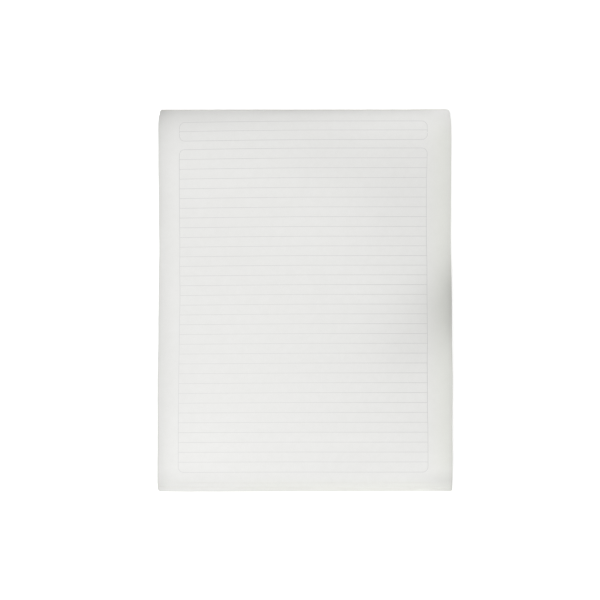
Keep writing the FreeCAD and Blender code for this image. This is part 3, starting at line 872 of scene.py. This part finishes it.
# ------------------------------------------------------------ backing board --
def outline(half_w, y_low, y_high, r, n_arc, pitch):
    """Round-cornered rectangle, counter-clockwise from its upper right."""
    pts = []

    def arc(cx, cy, a0):
        for i in range(n_arc + 1):
            a = math.radians(a0 + 90 * i / n_arc)
            pts.append((cx + r * math.cos(a), cy + r * math.sin(a)))

    def run(x0, y0, x1, y1):
        n = max(1, round(math.hypot(x1 - x0, y1 - y0) / pitch))
        for i in range(1, n):
            pts.append((x0 + (x1 - x0) * i / n, y0 + (y1 - y0) * i / n))

    arc(half_w - r, y_high - r, 0)
    run(half_w - r, y_high, -half_w + r, y_high)
    arc(-half_w + r, y_high - r, 90)
    run(-half_w, y_high - r, -half_w, y_low + r)
    arc(-half_w + r, y_low + r, 180)
    run(-half_w + r, y_low, half_w - r, y_low)
    arc(half_w - r, y_low + r, 270)
    run(half_w, y_low + r, half_w, y_high - r)
    return np.array(pts)


def board_mesh():
    rng = random.Random(3)
    ring = outline(HALF_W, FREE, HEAD_Y0, CORNER, 6, 3.0)
    n = len(ring)
    d = np.roll(ring, -1, 0) - np.roll(ring, 1, 0)
    d /= np.linalg.norm(d, axis=1, keepdims=True)
    inward = np.stack([-d[:, 1], d[:, 0]], 1)
    fuzz = np.array([rng.uniform(0.0, 0.05) for _ in range(n)])
    levels = ((0.22, 0.0), (0.05, 0.05), (0.0, 0.16), (0.02, 0.40), (0.0, 0.62), (0.05, 0.75), (0.22, 0.8))
    verts = []
    for inset, z in levels:
        p = ring + inward * (inset + fuzz)[:, None]
        verts.append(np.concatenate([p, np.full((n, 1), z)], 1))
    verts = np.concatenate(verts)
    faces = []
    for lv in range(len(levels) - 1):
        a, b = lv * n, (lv + 1) * n
        for i in range(n):
            j = (i + 1) % n
            faces.append((a + i, a + j, b + j, b + i))
    return verts, faces, n, len(levels)


def make_board():
    import bmesh
    verts, faces, n, levels = board_mesh()
    bm = bmesh.new()
    vs = [bm.verts.new(Vector(p) * MM) for p in verts]
    for f in faces:
        bm.faces.new([vs[i] for i in f])
    bm.faces.new([vs[i] for i in reversed(range(n))])
    bm.faces.new([vs[(levels - 1) * n + i] for i in range(n)])
    bmesh.ops.recalc_face_normals(bm, faces=bm.faces)
    me = bpy.data.meshes.new("board")
    bm.to_mesh(me)
    bm.free()
    for p in me.polygons:
        p.use_smooth = len(p.vertices) == 4
    me.materials.append(board_material())
    ob = bpy.data.objects.new("board", me)
    bpy.context.scene.collection.objects.link(ob)
    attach(ob, "root")
    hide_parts("backing_board")
    return ob


make_board()

# ----------------------------------------------------------------- head gum --
def gum_mesh():
    nx = 150
    half = 106.45
    section = [(140.30, 4.285), (140.46, 4.21), (140.62, 4.06), (140.60, 3.86), (140.45, 3.40),
               (140.22, 2.80), (139.99, 2.20), (139.76, 1.60), (139.52, 1.00), (139.32, 0.50),
               (139.18, 0.12), (139.12, 0.01), (138.74, 0.01), (138.74, 0.79), (139.13, 1.66), (139.53, 2.53),
               (139.93, 3.41)]
    outer = 12
    ws = waves(77, 7, 6.0, 60.0)
    rows = []
    m = len(section)
    for i in range(nx + 1):
        x = -half + 2 * half * i / nx
        ring = []
        for q, (y, z) in enumerate(section):
            yy, zz, xx = y, z, x
            if 1 <= q <= outer - 2:
                swell = sum(s * math.sin(kx * x + 2.4 * ky * z * 6 + ph) for kx, ky, ph, s in ws)
                yy += -0.06 + 0.045 * swell / 2.0
                zz += 0.01 * math.sin(x * 0.9 + q)
            if z > 2.0 and y > HEAD_Y1 - 0.7:
                yy += float(head_creep(x)) * min((z - 2.0) / 1.5, 1.0)
            ring.append((xx, min(yy, 140.69), max(zz, 0.005)))
        rows.append(ring)
    # brushed ends: the film thins out before the corners of the leaves
    for i, f in ((0, 0.90), (nx, 0.72), (nx - 1, 0.93)):
        r = rows[i]
        for q in range(m):
            yq, zq = r[q][1], r[q][2]
            inner = HEAD_Y0 + 0.04 + max(zq - HEAD_Z0, 0) * 1.6 / 3.5
            r[q] = (r[q][0], inner + (yq - inner) * f, zq)
    v = np.array(rows).reshape(-1, 3)
    faces = []
    for i in range(nx):
        a, b = i * m, (i + 1) * m
        for q in range(m):
            r = (q + 1) % m
            faces.append((a + q, b + q, b + r, a + r))
    return v, faces, nx, m


def make_gum():
    import bmesh
    v, faces, nx, m = gum_mesh()
    bm = bmesh.new()
    vs = [bm.verts.new(Vector(p) * MM) for p in v]
    for f in faces:
        bm.faces.new([vs[i] for i in f])
    bm.faces.new([vs[q] for q in range(m)])
    bm.faces.new([vs[nx * m + q] for q in reversed(range(m))])
    bmesh.ops.recalc_face_normals(bm, faces=bm.faces)
    me = bpy.data.meshes.new("gum_film")
    bm.to_mesh(me)
    bm.free()
    for p in me.polygons:
        p.use_smooth = True
    me.materials.append(gum_material())
    ob = bpy.data.objects.new("gum_film", me)
    bpy.context.scene.collection.objects.link(ob)
    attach(ob, "root")
    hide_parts("head_gum")
    return ob


make_gum()

# -------------------------------------------------------------------- stage --
def make_floor():
    """A round floor that meets the board all round just inside its rim, and
    is open under it, so that the underside can be looked at."""
    rim = outline(HALF_W - 0.3, FREE + 0.3, HEAD_Y0 - 0.3, CORNER, 4, 12.0)
    n = len(rim)
    verts = [(x * MM, y * MM, -0.00002) for x, y in rim]
    for r in (0.25, 0.5, 0.9, 1.5, 2.4, 3.8, 6.0, 9.0):
        for x, y in rim:
            a = math.atan2(y, x)
            verts.append((r * math.cos(a), r * math.sin(a), -0.00002))
    faces = []
    for k in range(8):
        a, b = k * n, (k + 1) * n
        faces += [(a + i, b + i, b + (i + 1) % n, a + (i + 1) % n) for i in range(n)]
    me = bpy.data.meshes.new("floor")
    me.from_pydata(verts, [], faces)
    me.materials.append(floor_material())
    ob = bpy.data.objects.new("floor", me)
    bpy.context.scene.collection.objects.link(ob)
    return ob


make_floor()


def make_backdrop():
    """White dome round the set.  It only stands behind the view: the light on
    the pad comes from the lamps and the room."""
    rings, n, r = 10, 48, 8.8
    verts = []
    for k in range(rings):
        e = math.radians(-2.0 + 88.0 * k / (rings - 1))
        verts += [(r * math.cos(e) * math.cos(2 * math.pi * i / n),
                   r * math.cos(e) * math.sin(2 * math.pi * i / n), r * math.sin(e)) for i in range(n)]
    verts.append((0.0, 0.0, r))
    faces = []
    for k in range(rings - 1):
        a, b = k * n, (k + 1) * n
        faces += [(a + i, a + (i + 1) % n, b + (i + 1) % n, b + i) for i in range(n)]
    top, last = len(verts) - 1, (rings - 1) * n
    faces += [(last + i, last + (i + 1) % n, top) for i in range(n)]
    me = bpy.data.meshes.new("backdrop")
    me.from_pydata(verts, [], faces)
    mat, nt, bsdf = new_material("white_backdrop")
    bsdf.inputs["Base Color"].default_value = (0.0, 0.0, 0.0, 1.0)
    bsdf.inputs["Specular IOR Level"].default_value = 0.0
    bsdf.inputs["Emission Color"].default_value = (1.0, 1.0, 1.0, 1.0)
    bsdf.inputs["Emission Strength"].default_value = 1.0
    me.materials.append(mat)
    ob = bpy.data.objects.new("backdrop", me)
    for way in ("diffuse", "glossy", "transmission", "volume_scatter", "shadow"):
        setattr(ob, "visible_" + way, False)
    bpy.context.scene.collection.objects.link(ob)
    return ob


make_backdrop()


def area_light(name, place, aim, size, power):
    data = bpy.data.lights.new(name, "AREA")
    data.shape = "DISK"
    data.size = size
    data.energy = power
    ob = bpy.data.objects.new(name, data)
    ob.location = place
    ob.rotation_euler = (Vector(aim) - Vector(place)).to_track_quat("-Z", "Y").to_euler()
    ob.visible_camera = False
    bpy.context.scene.collection.objects.link(ob)
    return ob


LIGHTS = (
    # name, place, disc size, power
    ("light_window", (0.235, 0.407, 0.171), 0.30, 0.54),
    ("light_left_back", (-0.334, 0.193, 0.460), 0.35, 0.39),
    ("light_left", (-0.386, 0.0, 0.460), 0.35, 0.31),
    ("light_front_left", (-0.354, -0.612, 0.843), 0.50, 1.65),
    ("light_front", (0.0, -0.386, 0.460), 0.35, 0.68),
    ("light_front_right", (0.193, -0.334, 0.460), 0.35, 0.33),
    ("light_over_foot", (-0.15, -0.20, 0.70), 0.40, 0.62),
    ("light_over_head", (-0.15, 0.15, 0.70), 0.40, 0.91),
)
for name, place, size, power in LIGHTS:
    area_light(name, place, (0.0, 0.0, 0.0), size, power)

# a white room: pale all round at eye level, dimmer overhead
world = bpy.data.worlds.new("studio")
bpy.context.scene.world = world
world.use_nodes = True
wt = world.node_tree
sky = wt.nodes["Background"]
tc = wt.nodes.new("ShaderNodeTexCoord")
split = wt.nodes.new("ShaderNodeSeparateXYZ")
wt.links.new(tc.outputs["Generated"], split.inputs[0])
walls = ramp_node(wt, split.outputs["Z"], 0.10, 0.62)
wt.links.new(mix_colour(wt, walls, (1.0, 1.0, 1.0), (0.10, 0.10, 0.10)), sky.inputs["Color"])
sky.inputs["Strength"].default_value = 1.0

view = bpy.context.scene.view_settings
view.view_transform = "Standard"
view.look = "None"
view.exposure = 0.0
view.gamma = 1.0

# ------------------------------------------------------------------- camera --
cam_data = bpy.data.cameras.new("camera")
cam_data.sensor_width = 36.0
cam_data.lens = 32.0
cam_data.clip_start = 0.01
cam_data.clip_end = 20.0
cam = bpy.data.objects.new("camera", cam_data)
TILT = 0.0105                       # the free end is a touch nearer
cam.location = (-0.0036, -0.0050, 0.3987)
# looking straight down, image top towards the head, leaning by TILT
cam.rotation_euler = (TILT, 0.0, -0.0020)
bpy.context.scene.collection.objects.link(cam)
bpy.context.scene.camera = cam

bpy.context.view_layer.update()
